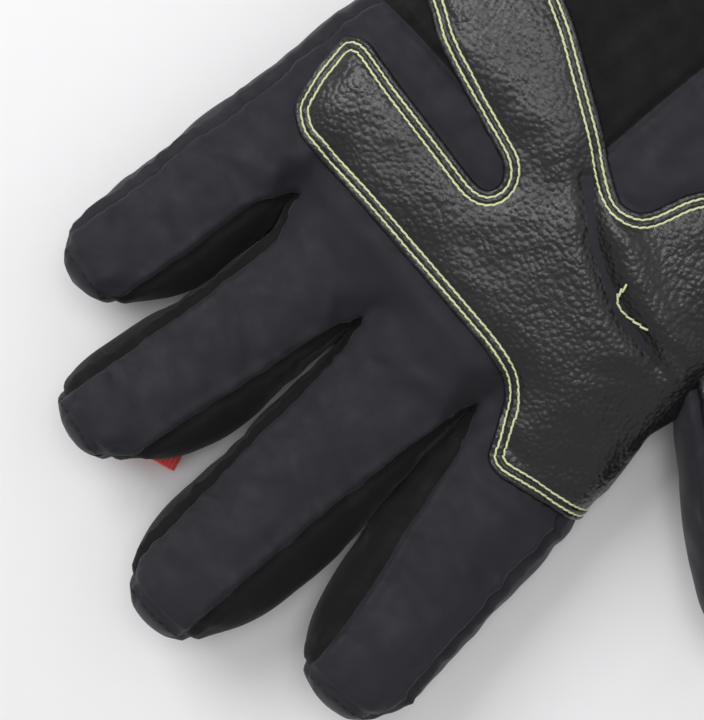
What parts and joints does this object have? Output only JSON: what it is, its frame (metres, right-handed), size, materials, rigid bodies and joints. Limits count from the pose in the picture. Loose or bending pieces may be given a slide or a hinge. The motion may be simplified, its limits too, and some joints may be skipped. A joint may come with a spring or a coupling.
{
  "type": "ski glove",
  "caption": "Insulated left-hand ski glove with box-finger construction, stretch gussets, leather palm patch, wrist strap and a gauntlet cuff, lying palm up.",
  "frame": {"origin": "under the middle of the glove's outline, on the flat back that rests on the table", "axes": "+Y along the fingers, +X towards the little finger, +Z out of the palm side"},
  "size_m": [0.173, 0.2708, 0.0527],
  "materials": {
    "shell_fabric": "matte woven softshell",
    "stretch_fabric": "matte stretch knit",
    "goat_leather": "pebbled, low sheen",
    "contrast_thread": "twisted thread",
    "wadding": "lofted wadding",
    "membrane": "thin film",
    "fleece": "brushed fleece",
    "red_ribbon": "grosgrain ribbon",
    "black_webbing": "woven webbing",
    "elastic": "ribbed elastic",
    "hook_and_loop": "hook and loop tape",
    "tab_rubber": "moulded, satin",
    "label_satin": "blank satin label"
  },
  "bodies": {
    "palm": {"palm_shell_panel": "shell_fabric", "back_shell_panel": "shell_fabric", "heel_stretch_panel": "stretch_fabric", "finger_gussets": "stretch_fabric", "palm_leather_patch": "goat_leather", "leather_stitching": "contrast_thread", "palm_insulation": "wadding", "back_insulation": "wadding", "waterproof_insert": "membrane", "palm_lining": "fleece", "thumb_root_panel": "goat_leather", "index_flex_rings": "stretch_fabric", "middle_flex_rings": "stretch_fabric", "ring_flex_rings": "stretch_fabric", "little_flex_rings": "stretch_fabric", "thumb_flex_rings": "stretch_fabric", "wrist_flex_ring": "stretch_fabric"},
    "index_base": {"index_base_shell": "shell_fabric", "index_base_sidewalls": "stretch_fabric", "index_base_lining": "fleece"},
    "index_tip": {"index_tip_shell": "shell_fabric", "index_tip_sidewalls": "stretch_fabric", "index_tip_lining": "fleece"},
    "middle_base": {"middle_base_shell": "shell_fabric", "middle_base_sidewalls": "stretch_fabric", "middle_base_lining": "fleece"},
    "middle_tip": {"middle_tip_shell": "shell_fabric", "middle_tip_sidewalls": "stretch_fabric", "middle_tip_lining": "fleece"},
    "ring_base": {"ring_base_shell": "shell_fabric", "ring_base_sidewalls": "stretch_fabric", "ring_base_lining": "fleece"},
    "ring_tip": {"ring_tip_shell": "shell_fabric", "ring_tip_sidewalls": "stretch_fabric", "ring_tip_lining": "fleece"},
    "little_base": {"little_base_shell": "shell_fabric", "little_base_sidewalls": "stretch_fabric", "little_base_lining": "fleece"},
    "little_tip": {"little_tip_shell": "shell_fabric", "little_tip_sidewalls": "stretch_fabric", "little_tip_lining": "fleece"},
    "thumb_base": {"thumb_base_leather": "goat_leather", "thumb_base_shell": "shell_fabric", "thumb_base_lining": "fleece"},
    "thumb_tip": {"thumb_tip_leather": "goat_leather", "thumb_tip_shell": "shell_fabric", "thumb_tip_lining": "fleece"},
    "cuff": {"cuff_shell": "shell_fabric", "cuff_lining": "fleece", "cuff_binding": "black_webbing", "wrist_elastic": "elastic", "strap_anchor": "black_webbing", "strap_loop_tape": "hook_and_loop", "cuff_pull_loop": "black_webbing", "care_label": "label_satin"},
    "strap": {"wrist_strap": "black_webbing", "strap_hook_tape": "hook_and_loop", "strap_pull_tab": "tab_rubber"},
    "hang_loop": {"finger_hang_loop": "red_ribbon"}
  },
  "joints": [
    {"name": "index_knuckle", "type": "hinge", "parent": "palm", "child": "index_base", "pos_m": [-0.01881, 0.06297, 0.01504], "axis": [0.9863, 0.165, 0], "range_deg": [0, 50], "deforming": ["index_flex_rings"]},
    {"name": "index_middle_joint", "type": "hinge", "parent": "index_base", "child": "index_tip", "pos_m": [-0.02261, 0.08566, 0.01504], "axis": [0.9863, 0.165, 0], "range_deg": [0, 60]},
    {"name": "middle_knuckle", "type": "hinge", "parent": "palm", "child": "middle_base", "pos_m": [0.01387, 0.0664, 0.01504], "axis": [0.9989, 0.0471, 0], "range_deg": [0, 50], "deforming": ["middle_flex_rings"]},
    {"name": "middle_middle_joint", "type": "hinge", "parent": "middle_base", "child": "middle_tip", "pos_m": [0.01246, 0.09637, 0.01504], "axis": [0.9989, 0.0471, 0], "range_deg": [0, 60]},
    {"name": "ring_knuckle", "type": "hinge", "parent": "palm", "child": "ring_base", "pos_m": [0.04471, 0.06634, 0.01504], "axis": [0.9932, -0.1167, 0], "range_deg": [0, 50], "deforming": ["ring_flex_rings"]},
    {"name": "ring_middle_joint", "type": "hinge", "parent": "ring_base", "child": "ring_tip", "pos_m": [0.04739, 0.08919, 0.01504], "axis": [0.9932, -0.1167, 0], "range_deg": [0, 60]},
    {"name": "little_knuckle", "type": "hinge", "parent": "palm", "child": "little_base", "pos_m": [0.07208, 0.06118, 0.01388], "axis": [0.9966, -0.0819, 0], "range_deg": [0, 50], "deforming": ["little_flex_rings"]},
    {"name": "little_middle_joint", "type": "hinge", "parent": "little_base", "child": "little_tip", "pos_m": [0.07339, 0.07713, 0.01388], "axis": [0.9966, -0.0819, 0], "range_deg": [0, 60]},
    {"name": "thumb_knuckle", "type": "hinge", "parent": "palm", "child": "thumb_base", "pos_m": [-0.04402, 0.01192, 0.02062], "axis": [0.5878, 0.809, 0], "range_deg": [0, 40], "deforming": ["thumb_flex_rings"]},
    {"name": "thumb_middle_joint", "type": "hinge", "parent": "thumb_base", "child": "thumb_tip", "pos_m": [-0.06182, 0.02485, 0.02062], "axis": [0.5878, 0.809, 0], "range_deg": [0, 48]},
    {"name": "wrist_fold", "type": "hinge", "parent": "palm", "child": "cuff", "pos_m": [0.02334, -0.04359, 0.0209], "axis": [-1, 0, 0], "range_deg": [0, 45], "deforming": ["wrist_flex_ring"]},
    {"name": "strap_peel", "type": "hinge", "parent": "cuff", "child": "strap", "pos_m": [0.07508, -0.0713, 0.0307], "axis": [-0.106, 0.9936, -0.0394], "range_deg": [0, 140]},
    {"name": "hang_loop_swing", "type": "hinge", "parent": "ring_tip", "child": "hang_loop", "pos_m": [0.05107, 0.11191, 0.0026], "axis": [0.1167, 0.9932, 0], "range_deg": [-110, 0]}
  ],
  "couplings": [
    {"joint": "index_middle_joint", "follows": "index_knuckle", "ratio": 1.2},
    {"joint": "middle_middle_joint", "follows": "middle_knuckle", "ratio": 1.2},
    {"joint": "ring_middle_joint", "follows": "ring_knuckle", "ratio": 1.2},
    {"joint": "little_middle_joint", "follows": "little_knuckle", "ratio": 1.2},
    {"joint": "thumb_middle_joint", "follows": "thumb_knuckle", "ratio": 1.2}
  ]
}
